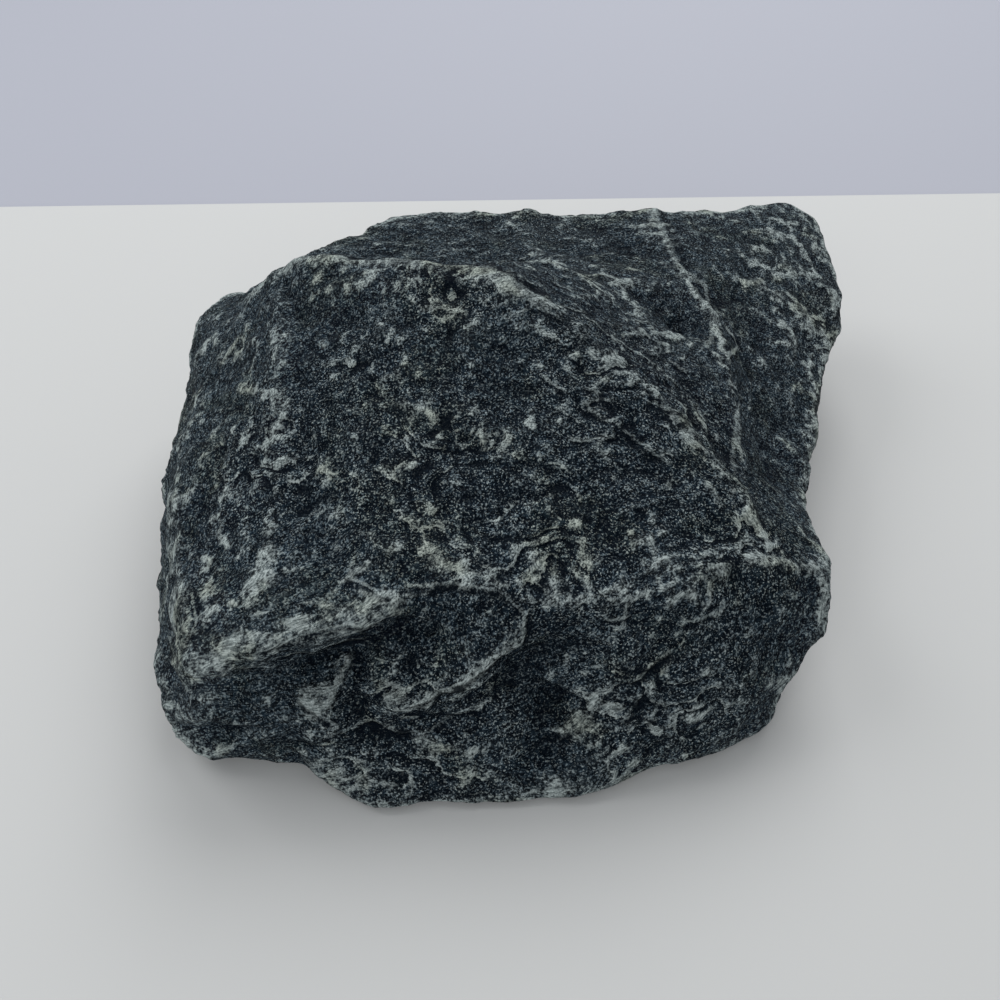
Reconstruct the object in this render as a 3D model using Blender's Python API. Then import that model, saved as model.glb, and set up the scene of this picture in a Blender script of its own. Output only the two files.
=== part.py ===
"""A hand-sized block of raw dunite, broken from the outcrop: one solid stone, resting on its flattest side.

Metres, +Z up. The origin is under the middle of the stone, on the surface that the stone rests on.
+X is to the right of the stone's show face and +Y runs towards its back.

The form is hung on key lines: the lips, crests, rims, ledges and hollows that the break left in the stone.
Each line is a list of points (x, y, z) in millimetres. Flat breaks span the space between the lines, their
edges are worn a little round, and a low relief of swells and hackles is laid over them.
"""

import itertools

import bmesh
import bpy
import numpy as np

MM = 0.001
AXES = 3

# The stone swells from this point: every part of its surface can be seen from it, in millimetres
HEART = np.array([0.0, 0.0, 26.0])
# The stone is flatter than it is wide, so directions from its heart are spread as if it were this much taller
TALLNESS = 2.1
# Points along a key line are no further apart than this, in millimetres
LINE_STEP = 5.0

# Upper edges of the block, in millimetres
FRONT_LIP = [
    (-71, -77, 33), (-53, -75, 38), (-36, -72, 42), (-29, -68, 44), (-21, -65, 45), (-13, -64, 45),
    (-5, -67, 43), (15, -66, 42), (32, -60, 42), (41, -55, 41), (51, -54, 38), (61, -51, 34),
]
CREST = [
    (-59, 20, 66), (-49, 15, 70), (-27, 6, 74), (-13, 5, 73), (-7, -1, 72), (1, -4, 69), (24, -21, 58),
    (43, -41, 45), (51, -54, 38),
]
SIDE_RIDGE = [(35, 73, 50), (38, 51, 50), (41, 36, 49), (46, 26, 48), (47, 13, 46), (46, -6, 44), (45, -27, 41)]
LEFT_EDGE = [(-59, 20, 66), (-66, 23, 60), (-73, 25, 54), (-81, 21, 47), (-85, 13, 41)]
LEFT_SHOULDER = [(-81, 6, 42), (-84, -16, 38), (-82, -32, 36), (-79, -46, 35), (-74, -60, 35), (-71, -77, 33)]

# The big sloping show face, with a low ridge and a furrow down its left side
LEFT_RIDGE = [(-60, -2, 60), (-58, -18, 56), (-59, -32, 52), (-56, -48, 48), (-58, -68, 41)]
LEFT_FURROW = [(-54, 2, 60), (-52, -18, 56), (-51, -36, 51), (-47, -52, 47)]
SHOW_FACE = [
    (-35, -10, 66), (-36, -33, 57), (-33, -53, 50), (-13, -17, 64), (-15, -40, 55), (-15, -56, 48),
    (4, -29, 57), (3, -47, 50), (21, -38, 51), (19, -55, 45), (37, -48, 43),
]

# Behind the crest the stone steps down to a shelf, which a ridge divides from the panel on the right
BACK_SLOPE = [(-52, 40, 53), (-28, 36, 53), (-8, 30, 54), (7, 34, 56), (19, 27, 56), (25, 8, 54), (35, -12, 49)]
SHELF = [(-31, 53, 51), (-14, 52, 51), (-1, 45, 53)]
HOLLOW = [(30, 44, 50), (38, 20, 46), (39, -25, 45)]
STEP_FOOT = [(52, 30, 42), (54, 10, 36), (55, -6, 33), (54, -20, 32)]
PANEL = [(61, 58, 43), (75, 61, 41), (62, 32, 39), (74, 36, 36), (63, 0, 29)]

# Rims all round, where the top turns over into the sides
RIGHT_RIM = [
    (84, 88, 42), (89, 80, 39), (89, 54, 32), (87, 44, 30), (81, 32, 29), (74, 13, 28), (71, 0, 26),
    (64, -19, 26), (61, -30, 29), (61, -40, 32), (61, -51, 34),
]
BACK_RIM = [
    (-59, 53, 50), (-48, 57, 50), (-46, 61, 51), (-38, 69, 50), (-26, 71, 50), (0, 71, 50), (8, 71, 48),
    (20, 74, 47), (41, 76, 47), (66, 86, 43), (79, 89, 43), (84, 88, 42),
]
LEFT_RIM = [
    (-79, 43, 40), (-82, 47, 38), (-87, 46, 38), (-92, 39, 35), (-90, 7, 30), (-90, -15, 26), (-88, -28, 22),
    (-86, -42, 20), (-84, -61, 15), (-81, -73, 9), (-75, -78, 4),
]

# The front: a lobe with a sharp rim under the lip, a recess to its left, a low ledge to its right
LOBE_RIM = [(-4, -68, 40), (-6, -72, 35), (-12, -74, 32), (-17, -77, 28), (-26, -78, 24), (-31, -77, 24)]
LOBE_FACE = [(-18, -69, 36), (-26, -70, 33)]
UNDER_RIM = [(3, -69, 32), (-3, -70, 27), (-9, -72, 21), (-19, -76, 18)]
RECESS = [(-64, -74, 27), (-48, -70, 29), (-37, -69, 31), (-29, -66, 36)]
KNOB = [(-40, -73, 28), (-46, -76, 24), (-44, -79, 17), (-39, -78, 15)]
LEFT_FOOT = [(-72, -78, 20), (-60, -78, 14), (-52, -79, 10)]
RIGHT_FRONT = [(15, -70, 31), (30, -68, 31), (46, -63, 28), (55, -58, 27)]
LEDGE = [(2, -80, 12), (7, -78, 15), (11, -75, 19), (22, -74, 20), (31, -75, 15), (41, -72, 16), (52, -65, 12)]
LEDGE_TOE = [(13, -81, 11), (24, -79, 12)]
GROOVE = [(2, -71, 18), (1, -82, 6)]

# The foot of the front and the right front corner
FOOT = [
    (-75, -78, 4), (-70, -78, 2), (-51, -79, 2), (-44, -85, 1), (-36, -90, 1), (-23, -88, 1), (-9, -89, 1),
    (7, -87, 1), (15, -84, 2), (27, -80, 3), (41, -77, 2), (52, -70, 1), (55, -68, 4), (52, -67, 8),
    (56, -63, 14), (60, -59, 22), (61, -51, 34),
]

# Sides that face away from the show face
LEFT_SIDE = [(-89, 24, 16), (-87, 10, 12), (-89, -6, 12), (-86, -22, 7), (-85, -38, 9), (-80, -62, 5)]
BACK_LEDGE = [(-76, 46, 30), (-56, 54, 33), (-34, 68, 34), (-8, 75, 31), (18, 79, 30), (44, 82, 32), (64, 88, 30)]
UNDER_LEDGE = [(-72, 46, 22), (-51, 56, 22), (-31, 66, 24), (-7, 72, 21), (20, 76, 20), (43, 79, 23)]
BACK_FOOT = [(-66, 42, 8), (-40, 58, 12), (-20, 68, 9), (14, 70, 5), (40, 76, 10), (68, 79, 6)]
RIGHT_SIDE = [
    (87, 76, 20), (82, 58, 9), (82, 42, 18), (75, 24, 9), (73, 8, 16), (64, -10, 8), (61, -28, 16), (56, -48, 8),
]
# The underside dips below the ground here, and is cut off level with it
UNDERSIDE = [
    (-62, -56, -1), (-34, -74, -1), (0, -74, -1), (26, -66, -1), (42, -50, -1), (50, -20, -1), (54, 10, -1),
    (60, 42, -1), (52, 60, -1), (20, 56, -1), (-18, 52, -1), (-50, 32, -1), (-68, 4, -1), (-70, -28, -1),
    (-62, -56, -1),
]

# Dents (below 0) and lumps (above 0) in the faces: the middle, the radius and the height, in millimetres
DENTS = [
    ((-50, -48, 47), 8, -2.0), ((52, -6, 33), 9, -2.0), ((36, 20, 46), 8, -2.0), ((2, -71, 30), 8, -2.4),
    ((-5, -73, 24), 7, -2.0), ((-25, -68, 36), 7, -2.4), ((-39, -71, 31), 7, -2.0), ((2, -72, 16), 5, -2.0),
    ((1, -79, 9), 5, -1.8), ((-41, -71, 26), 4, 1.6), ((-46, -75, 21), 5, 2.2), ((-44, -79, 15), 4, 1.6),
    ((-38, -74, 20), 5, -1.6), ((-78, 24, 50), 4, -2.4),
]

EDGES = [
    FRONT_LIP, CREST, SIDE_RIDGE, LEFT_EDGE, LEFT_SHOULDER, LEFT_RIDGE, LEFT_FURROW, STEP_FOOT, RIGHT_RIM,
    BACK_RIM, LEFT_RIM, LOBE_RIM, UNDER_RIM, RECESS, KNOB, LEDGE, GROOVE, FOOT, BACK_LEDGE, UNDER_LEDGE,
    UNDERSIDE,
]
FACE_POINTS = [
    SHOW_FACE, BACK_SLOPE, SHELF, HOLLOW, PANEL, LOBE_FACE, LEFT_FOOT, RIGHT_FRONT, LEDGE_TOE, LEFT_SIDE,
    BACK_FOOT, RIGHT_SIDE,
]

# A direction still counts as inside a break when it misses its side by this little
TOUCHING = 1e-9
# How fine the stone is drawn before it is simplified, and how much of it is kept
SUBDIVISIONS = 7
KEPT_FACES = 9400
# Wear rounds the edges by this many passes, each moving a point halfway to the middle of its neighbours
WEAR_PASSES = 4
HALFWAY = 0.5
# Key points are told apart to this many decimals of a millimetre
KEY_DECIMALS = 3

# The stone is let out by this much all over, because the wear draws its edges in, in millimetres
WEAR_ALLOWANCE = 0.5

# Relief laid over the breaks: the size of one swell along x, y and z, and its height, in millimetres
SWELLS = ((38.0, 38.0, 30.0), 0.8)
HACKLES = ((17.0, 14.0, 12.0), 1.4)
CHIPS = ((8.0, 7.0, 6.0), 0.6)
# Hackles are crests between scoops: this is how far the crests stand over the middle height
HACKLE_CREST = 0.3
# The relief dies away over this height above the ground, in millimetres
RELIEF_FADE = 6.0
# The finished stone is moved by this much, to stand with the middle of its box over the origin
CENTRING = np.array([1.2, -0.2, 0.0])
NOISE_SEED = 7
NOISE_TABLE = 256

# A point this near to the ground lies in the cut, in metres
CUT_TOLERANCE = 1e-6
# Edges that turn by more than this are shaded sharp, in radians
SHARP_ANGLE = 0.6


def gradient_noise(points, seed):
    """Smooth noise from -1 to 1 at each point: slopes drawn at the corners of a unit grid, faded together."""
    random = np.random.default_rng(seed)
    order = random.permutation(NOISE_TABLE)
    slopes = random.normal(size=(NOISE_TABLE, AXES))
    slopes /= np.linalg.norm(slopes, axis=1, keepdims=True)
    cell = np.floor(points).astype(int)
    within = points - cell
    fade = within**3 * (within * (within * 6 - 15) + 10)
    total = np.zeros(len(points))
    for corner in itertools.product((0, 1), repeat=AXES):
        x, y, z = ((cell + corner) % NOISE_TABLE).T
        slope = slopes[order[(order[(order[x] + y) % NOISE_TABLE] + z) % NOISE_TABLE]]
        share = np.where(corner, fade, 1 - fade).prod(axis=1)
        total += share * ((within - corner) * slope).sum(axis=1)
    return total


def along(line):
    """A key line's points, with more put in where they lie further apart than a step."""
    points = [np.array(line[0], float)]
    for start, end in zip(np.array(line[:-1], float), np.array(line[1:], float)):
        pieces = int(np.ceil(np.linalg.norm(end - start) / LINE_STEP))
        points += [start + (end - start) * piece / pieces for piece in range(1, pieces + 1)]
    return points


def facets(key_points):
    """The corners of every flat break, as an array of triangles: the key points joined to their neighbours."""
    mesh = bmesh.new()
    for direction in key_points / np.linalg.norm(key_points, axis=1, keepdims=True):
        mesh.verts.new(direction)
    mesh.verts.index_update()
    bmesh.ops.convex_hull(mesh, input=mesh.verts)
    corners = [[corner.index for corner in face.verts] for face in mesh.faces]
    mesh.free()
    triangles = key_points[np.array(corners)]
    normals = np.cross(triangles[:, 1] - triangles[:, 0], triangles[:, 2] - triangles[:, 0])
    inwards = (normals * triangles[:, 0]).sum(axis=1) < 0
    triangles[inwards] = triangles[inwards][:, ::-1]
    return triangles


def reach(directions, triangles):
    """How far each direction runs from the heart before it meets a flat break."""
    found = np.zeros(len(directions))
    for first, second, third in triangles:
        normal = np.cross(second - first, third - first)
        inside = np.ones(len(directions), bool)
        for start, end in ((first, second), (second, third), (third, first)):
            inside &= directions @ np.cross(start, end) >= -TOUCHING
        found[inside] = (normal @ first) / (directions[inside] @ normal)
    return found


def block():
    """The stone's flat breaks between its key lines, with worn edges."""
    stretch = np.array([1.0, 1.0, TALLNESS])
    points = [point for line in EDGES for point in along(line)]
    points += [point for group in FACE_POINTS for point in group]
    key_points = np.unique(np.round(points, KEY_DECIMALS), axis=0)
    triangles = facets((key_points - HEART) * stretch)
    mesh = bmesh.new()
    bmesh.ops.create_icosphere(mesh, subdivisions=SUBDIVISIONS, radius=1.0)
    directions = np.array([vertex.co for vertex in mesh.verts], float)
    places = directions * reach(directions, triangles)[:, None] / stretch + HEART
    for vertex, place in zip(mesh.verts, places * MM):
        vertex.co = place
    for _ in range(WEAR_PASSES):
        bmesh.ops.smooth_vert(
            mesh, verts=mesh.verts, factor=HALFWAY, use_axis_x=True, use_axis_y=True, use_axis_z=True
        )
    return mesh


def roughen(mesh):
    """Lay the relief over the breaks, halfway between the way that a point faces and its way from the heart."""
    mesh.normal_update()
    places = np.array([vertex.co for vertex in mesh.verts], float) / MM
    outwards = np.array([vertex.normal for vertex in mesh.verts], float)
    outwards += (places - HEART) / np.linalg.norm(places - HEART, axis=1, keepdims=True)
    outwards /= np.linalg.norm(outwards, axis=1, keepdims=True)
    height = SWELLS[1] * gradient_noise(places / SWELLS[0], NOISE_SEED)
    height += HACKLES[1] * (HACKLE_CREST - np.abs(gradient_noise(places / HACKLES[0], NOISE_SEED + 1)))
    height += CHIPS[1] * (HACKLE_CREST - np.abs(gradient_noise(places / CHIPS[0], NOISE_SEED + 2)))
    for middle, radius, tall in DENTS:
        height += tall * np.exp(-(((places - middle) / radius) ** 2).sum(axis=1))
    height = (height + WEAR_ALLOWANCE) * np.clip(places[:, 2] / RELIEF_FADE, 0, 1)
    for vertex, place in zip(mesh.verts, (places + outwards * height[:, None] + CENTRING) * MM):
        vertex.co = place


def simplified(mesh, name):
    """A plain mesh with the same form in fewer faces."""
    data = bpy.data.meshes.new(name)
    mesh.to_mesh(data)
    dense = bpy.data.objects.new("dense", data)
    bpy.context.scene.collection.objects.link(dense)
    decimate = dense.modifiers.new("simplify", "DECIMATE")
    decimate.ratio = KEPT_FACES / len(data.polygons)
    graph = bpy.context.evaluated_depsgraph_get()
    simple = bpy.data.meshes.new_from_object(dense.evaluated_get(graph))
    bpy.data.objects.remove(dense)
    return simple


def rest_on_the_ground(data):
    """Cut the stone off level with the ground, and close the cut with one flat face."""
    mesh = bmesh.new()
    mesh.from_mesh(data)
    cut = bmesh.ops.bisect_plane(
        mesh, geom=mesh.verts[:] + mesh.edges[:] + mesh.faces[:], dist=CUT_TOLERANCE,
        plane_co=(0, 0, 0), plane_no=(0, 0, -1), clear_outer=True,
    )
    rim = [edge for edge in cut["geom_cut"] if isinstance(edge, bmesh.types.BMEdge)]
    bmesh.ops.contextual_create(mesh, geom=rim)
    bmesh.ops.recalc_face_normals(mesh, faces=mesh.faces)
    bmesh.ops.triangulate(mesh, faces=mesh.faces)
    bmesh.ops.beautify_fill(mesh, faces=mesh.faces, edges=mesh.edges, method="ANGLE")
    mesh.to_mesh(data)
    mesh.free()


def stone_material():
    """Dark blue-green grey rock, dull where it is broken."""
    material = bpy.data.materials.new("dunite")
    material.use_nodes = True
    surface = material.node_tree.nodes["Principled BSDF"]
    surface.inputs["Base Color"].default_value = (0.045, 0.056, 0.058, 1.0)
    surface.inputs["Roughness"].default_value = 0.62
    surface.inputs["Metallic"].default_value = 0.0
    return material


def main():
    for old in list(bpy.data.objects):
        bpy.data.objects.remove(old)
    mesh = block()
    roughen(mesh)
    data = simplified(mesh, "dunite")
    mesh.free()
    rest_on_the_ground(data)
    data.materials.append(stone_material())
    data.shade_smooth()
    data.set_sharp_from_angle(angle=SHARP_ANGLE)
    stone = bpy.data.objects.new("dunite", data)
    bpy.context.scene.collection.objects.link(stone)


if __name__ == "__main__":
    main()
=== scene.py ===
"""The looks of a block of raw dunite: a fine surface over its solid, its finish and a plain studio.

The form and its patterns are worked out in millimetres, as they are measured on the stone, and turned to
metres where a mesh is made. The stone rests on z = 0, with +X to the right of its show face and +Y towards
its back.
"""

import itertools
import logging
import math
from dataclasses import dataclass
from enum import Enum
from typing import Any

import bmesh
import bpy
import numpy as np
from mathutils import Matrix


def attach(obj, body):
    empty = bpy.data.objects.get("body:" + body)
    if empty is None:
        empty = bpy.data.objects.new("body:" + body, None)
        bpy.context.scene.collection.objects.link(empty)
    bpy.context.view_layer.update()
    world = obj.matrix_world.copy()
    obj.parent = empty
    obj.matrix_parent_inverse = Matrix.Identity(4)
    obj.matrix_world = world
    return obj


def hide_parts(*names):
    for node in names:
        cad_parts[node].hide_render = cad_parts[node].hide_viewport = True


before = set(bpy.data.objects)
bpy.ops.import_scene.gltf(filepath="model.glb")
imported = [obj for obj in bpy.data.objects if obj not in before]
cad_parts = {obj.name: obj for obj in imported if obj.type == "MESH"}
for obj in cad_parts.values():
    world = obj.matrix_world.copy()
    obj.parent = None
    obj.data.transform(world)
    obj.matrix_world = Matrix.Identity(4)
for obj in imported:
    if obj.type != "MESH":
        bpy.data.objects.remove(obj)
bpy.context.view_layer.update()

STONE_NODE = "dunite"
MM = 0.001
AXES = 3
TINY = 1e-9

Array = np.ndarray
Point = tuple[float, float, float]
Line = tuple[Point, ...]
Colour = tuple[float, float, float, float]
Span = tuple[float, float]
Noise = tuple[float, float, float]
Weights = tuple[tuple[str, float], ...]
Sockets = dict[str, bpy.types.NodeSocket]

log = logging.getLogger("dunite")


def smooth_step(values: Array, low: float, high: float) -> Array:
    """Rise from 0 at low to 1 at high, as 3t^2 - 2t^3."""
    share = np.clip((values - low) / (high - low), 0, 1)
    return share * share * (3 - 2 * share)


def length(vectors: Array) -> Array:
    """Return the length of each vector, kept as a column."""
    return np.linalg.norm(vectors, axis=-1, keepdims=True)


class CubeSide(Enum):
    """The six sides of a cube whose grids wrap the stone, each as its ways out, across and up."""

    RIGHT = ((1, 0, 0), (0, 1, 0), (0, 0, 1))
    LEFT = ((-1, 0, 0), (0, -1, 0), (0, 0, 1))
    BACK = ((0, 1, 0), (-1, 0, 0), (0, 0, 1))
    FRONT = ((0, -1, 0), (1, 0, 0), (0, 0, 1))
    TOP = ((0, 0, 1), (1, 0, 0), (0, 1, 0))
    BOTTOM = ((0, 0, -1), (1, 0, 0), (0, -1, 0))

    def grid(self, cells: int) -> Array:
        """Spread a square grid of directions over this side.

        A direction is the way out, plus the way across times tan(u), plus the way up times tan(v), where u
        and v run in even steps from -45 to 45 degrees.

        Args:
            cells: squares along each edge of the side.

        Returns:
            Directions, shaped (cells + 1, cells + 1, 3).
        """
        out, across, up = np.array(self.value, float)
        slope = np.tan(np.linspace(-math.pi / 4, math.pi / 4, cells + 1))
        return out + slope[:, None, None] * across + slope[None, :, None] * up


class Crest(Enum):
    """How a relief turns noise into height: rolling both ways, or scooped between sharp crests."""

    ROLLING = "rolling"
    SCOOPED = "scooped"


@dataclass(frozen=True)
class Relief:
    """One layer of relief on the stone's breaks.

    Attributes:
        size: length of one swell along x, y and z, in millimetres.
        tall: how far noise of one full step lifts the surface, in millimetres.
        seed: draw of the noise.
        crest: how the noise becomes height.
        middle: noise that counts as the middle height between scoops.
        table: corners in the noise's table before it repeats.
    """

    size: Point
    tall: float
    seed: int
    crest: Crest = Crest.SCOOPED
    middle: float = 0.3
    table: int = 256

    def noise(self, points: Array) -> Array:
        """Work out smooth noise: slopes drawn at the corners of a unit grid, faded into each other.

        Between corners the fade runs as 6t^5 - 15t^4 + 10t^3 in each axis.

        Args:
            points: places, one per row, in units of the noise's grid.

        Returns:
            Noise from about -1 to 1, one number per point.
        """
        random = np.random.default_rng(self.seed)
        order = random.permutation(self.table)
        slopes = random.normal(size=(self.table, AXES))
        slopes /= length(slopes)
        cell = np.floor(points).astype(int)
        within = points - cell
        fade = within**3 * (within * (within * 6 - 15) + 10)
        total = np.zeros(len(points))
        for corner in itertools.product((0, 1), repeat=AXES):
            x, y, z = ((cell + corner) % self.table).T
            slope = slopes[order[(order[(order[x] + y) % self.table] + z) % self.table]]
            share = np.where(corner, fade, 1 - fade).prod(axis=1)
            total += share * ((within - corner) * slope).sum(axis=1)
        return total

    def height(self, points: Array) -> Array:
        """Work out the height that this layer adds at each point.

        Rolling relief is the noise itself. Scooped relief is the middle less the noise without its sign, so a
        sharp crest stands wherever the noise crosses zero.

        Args:
            points: places in millimetres, one per row.

        Returns:
            Heights in millimetres.
        """
        noise = self.noise(points / np.array(self.size))
        if self.crest is Crest.SCOOPED:
            noise = self.middle - np.abs(noise)
        return self.tall * noise


@dataclass(frozen=True)
class KeyForm:
    """The lips, crests, rims and hollows that the form hangs on, as points (x, y, z) in millimetres.

    Attributes:
        heart: the point from which every part of the surface can be seen.
        tallness: how much taller the stone counts when directions from its heart are spread.
        line_step: points along a key line are no further apart than this.
        centring: the finished stone is moved by this much, over the middle of its solid's box.
    """

    heart: Point = (0.0, 0.0, 26.0)
    tallness: float = 2.1
    line_step: float = 5.0
    centring: Point = (1.2, -0.2, 0.0)

    front_lip: Line = (
        (-71, -77, 33), (-53, -75, 38), (-36, -72, 42), (-29, -68, 44), (-21, -65, 45), (-13, -64, 45),
        (-5, -67, 43), (15, -66, 42), (32, -60, 42), (41, -55, 41), (51, -54, 38), (61, -51, 34),
    )
    crest: Line = (
        (-59, 20, 66), (-49, 15, 70), (-27, 6, 74), (-13, 5, 73), (-7, -1, 72), (1, -4, 69), (24, -21, 58),
        (43, -41, 45), (51, -54, 38),
    )
    side_ridge: Line = (
        (35, 73, 50), (38, 51, 50), (41, 36, 49), (46, 26, 48), (47, 13, 46), (46, -6, 44), (45, -27, 41),
    )
    left_edge: Line = ((-59, 20, 66), (-66, 23, 59), (-72, 25, 52), (-81, 21, 45), (-85, 13, 41))
    left_shoulder: Line = (
        (-81, 6, 42), (-84, -16, 38), (-82, -32, 36), (-79, -46, 35), (-74, -60, 35), (-71, -77, 33),
    )
    left_ridge: Line = ((-60, -2, 60), (-58, -18, 56), (-59, -32, 52), (-56, -48, 48), (-58, -68, 41))
    left_furrow: Line = ((-54, 2, 60), (-52, -18, 56), (-51, -36, 51), (-47, -52, 47))
    step_foot: Line = ((52, 30, 42), (54, 10, 36), (55, -6, 33), (54, -20, 32))
    right_rim: Line = (
        (84, 88, 42), (89, 80, 39), (89, 54, 32), (87, 44, 30), (81, 32, 29), (74, 13, 28), (71, 0, 26),
        (64, -19, 26), (61, -30, 29), (61, -40, 32), (61, -51, 34),
    )
    back_rim: Line = (
        (-59, 53, 50), (-48, 57, 50), (-46, 61, 51), (-38, 69, 50), (-26, 71, 50), (0, 71, 50), (8, 71, 48),
        (20, 74, 47), (41, 76, 47), (66, 86, 43), (79, 89, 43), (84, 88, 42),
    )
    left_rim: Line = (
        (-79, 43, 40), (-82, 47, 38), (-87, 46, 38), (-92, 39, 35), (-90, 7, 30), (-90, -15, 26),
        (-88, -28, 22), (-86, -42, 20), (-84, -61, 15), (-81, -73, 9), (-75, -78, 4),
    )
    lobe_rim: Line = (
        (-4, -68, 40), (-6, -72, 35), (-12, -74, 32), (-17, -77, 28), (-26, -78, 24), (-31, -77, 24),
    )
    under_rim: Line = ((3, -69, 32), (-3, -70, 27), (-9, -72, 21), (-19, -76, 18))
    recess: Line = ((-64, -74, 27), (-48, -70, 29), (-37, -69, 31), (-29, -66, 36))
    knob: Line = ((-40, -73, 28), (-46, -76, 24), (-44, -79, 17), (-39, -78, 15))
    ledge: Line = (
        (2, -80, 12), (7, -78, 15), (11, -75, 19), (22, -74, 20), (31, -75, 15), (41, -72, 16), (52, -65, 12),
    )
    groove: Line = ((2, -71, 18), (1, -82, 6))
    foot: Line = (
        (-75, -78, 4), (-70, -77, 1), (-51, -78, 1), (-44, -85, 1), (-36, -90, 1), (-23, -88, 1),
        (-9, -89, 1), (7, -87, 1), (15, -84, 1), (26, -79, 1), (40, -76, 1), (49, -70, 1), (52, -67, 4),
        (50, -66, 8), (54, -63, 14), (61, -59, 22), (61, -51, 34),
    )
    back_ledge: Line = (
        (-76, 46, 30), (-56, 54, 33), (-34, 68, 34), (-8, 75, 31), (18, 79, 30), (44, 82, 32), (64, 88, 30),
    )
    under_ledge: Line = (
        (-72, 46, 22), (-51, 56, 22), (-31, 66, 24), (-7, 72, 21), (20, 76, 20), (43, 79, 23),
    )
    underside: Line = (
        (-62, -56, -1), (-34, -74, -1), (0, -74, -1), (26, -66, -1), (42, -50, -1), (50, -20, -1),
        (54, 10, -1), (60, 42, -1), (52, 60, -1), (20, 56, -1), (-18, 52, -1), (-50, 32, -1), (-68, 4, -1),
        (-70, -28, -1), (-62, -56, -1),
    )
    show_face: Line = (
        (-35, -10, 66), (-36, -33, 57), (-33, -53, 50), (-13, -17, 64), (-15, -40, 55), (-15, -56, 48),
        (4, -29, 57), (3, -47, 50), (21, -38, 51), (19, -55, 45), (37, -48, 43),
    )
    back_slope: Line = (
        (-52, 40, 53), (-28, 36, 53), (-8, 30, 54), (7, 34, 56), (19, 27, 56), (25, 8, 54), (35, -12, 49),
    )
    shelf: Line = ((-31, 53, 51), (-14, 52, 51), (-1, 45, 53))
    hollow: Line = ((30, 44, 50), (38, 20, 46), (39, -25, 45))
    panel: Line = ((61, 58, 43), (75, 61, 41), (62, 32, 39), (74, 36, 36), (63, 0, 29))
    lobe_face: Line = ((-18, -69, 36), (-26, -70, 33))
    left_foot: Line = ((-72, -78, 20), (-60, -78, 14), (-52, -79, 10))
    right_front: Line = ((15, -70, 31), (30, -68, 31), (46, -63, 28), (55, -58, 27))
    ledge_toe: Line = ((13, -81, 11), (24, -79, 12))
    left_side: Line = (
        (-89, 24, 16), (-87, 10, 12), (-89, -6, 12), (-86, -22, 7), (-85, -38, 9), (-80, -62, 5),
    )
    back_foot: Line = ((-66, 42, 8), (-40, 58, 12), (-20, 68, 9), (14, 70, 5), (40, 76, 10), (68, 79, 6))
    right_side: Line = (
        (87, 76, 20), (82, 58, 9), (82, 42, 18), (75, 24, 9), (73, 8, 16), (64, -10, 8), (61, -28, 16),
        (56, -48, 8),
    )

    def edges(self) -> list[Line]:
        """Return the lines that run as edges through the form."""
        return [
            self.front_lip, self.crest, self.side_ridge, self.left_edge, self.left_shoulder, self.left_ridge,
            self.left_furrow, self.step_foot, self.right_rim, self.back_rim, self.left_rim, self.lobe_rim,
            self.under_rim, self.recess, self.knob, self.ledge, self.groove, self.foot, self.back_ledge,
            self.under_ledge, self.underside,
        ]

    def faces(self) -> list[Line]:
        """Return the groups of points that stand alone within the faces."""
        return [
            self.show_face, self.back_slope, self.shelf, self.hollow, self.panel, self.lobe_face,
            self.left_foot, self.right_front, self.ledge_toe, self.left_side, self.back_foot, self.right_side,
        ]

    def along(self, line: Line) -> list[Array]:
        """Put more points into a line where its own lie further apart than a step.

        Args:
            line: the key line.

        Returns:
            The line's points and those between them.
        """
        points = [np.array(line[0], float)]
        for start, end in zip(np.array(line[:-1], float), np.array(line[1:], float)):
            pieces = int(np.ceil(np.linalg.norm(end - start) / self.line_step))
            points += [start + (end - start) * piece / pieces for piece in range(1, pieces + 1)]
        return points

    def breaks(self) -> Array:
        """Join the key points to their neighbours, as the hull of their directions from the heart does.

        Returns:
            The corners of every flat break, about the heart, shaped (breaks, 3, 3).
        """
        points = [point for line in self.edges() for point in self.along(line)]
        points += [np.array(point, float) for group in self.faces() for point in group]
        keys = (np.unique(np.round(points, decimals=3), axis=0) - self.heart) * (1.0, 1.0, self.tallness)
        mesh = bmesh.new()
        for direction in keys / length(keys):
            mesh.verts.new(direction)
        mesh.verts.index_update()
        bmesh.ops.convex_hull(mesh, input=mesh.verts)
        corners = [[corner.index for corner in face.verts] for face in mesh.faces]
        mesh.free()
        triangles = keys[np.array(corners)]
        normals = np.cross(triangles[:, 1] - triangles[:, 0], triangles[:, 2] - triangles[:, 0])
        inwards = (normals * triangles[:, 0]).sum(axis=1) < 0
        triangles[inwards] = triangles[inwards][:, ::-1]
        return triangles

    def surface(self, directions: Array) -> Array:
        """Find where each direction from the heart meets the form.

        A direction inside a break's three side planes meets it at (normal . corner) / (normal . direction).

        Args:
            directions: unit directions in the stretched space, one per row.

        Returns:
            Places on the stone, in millimetres.
        """
        reach = np.zeros(len(directions))
        for first, second, third in self.breaks():
            normal = np.cross(second - first, third - first)
            inside = np.ones(len(directions), bool)
            for start, end in ((first, second), (second, third), (third, first)):
                inside &= directions @ np.cross(start, end) >= -TINY
            reach[inside] = (normal @ first) / (directions[inside] @ normal)
        return directions * reach[:, None] / (1.0, 1.0, self.tallness) + self.heart


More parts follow.
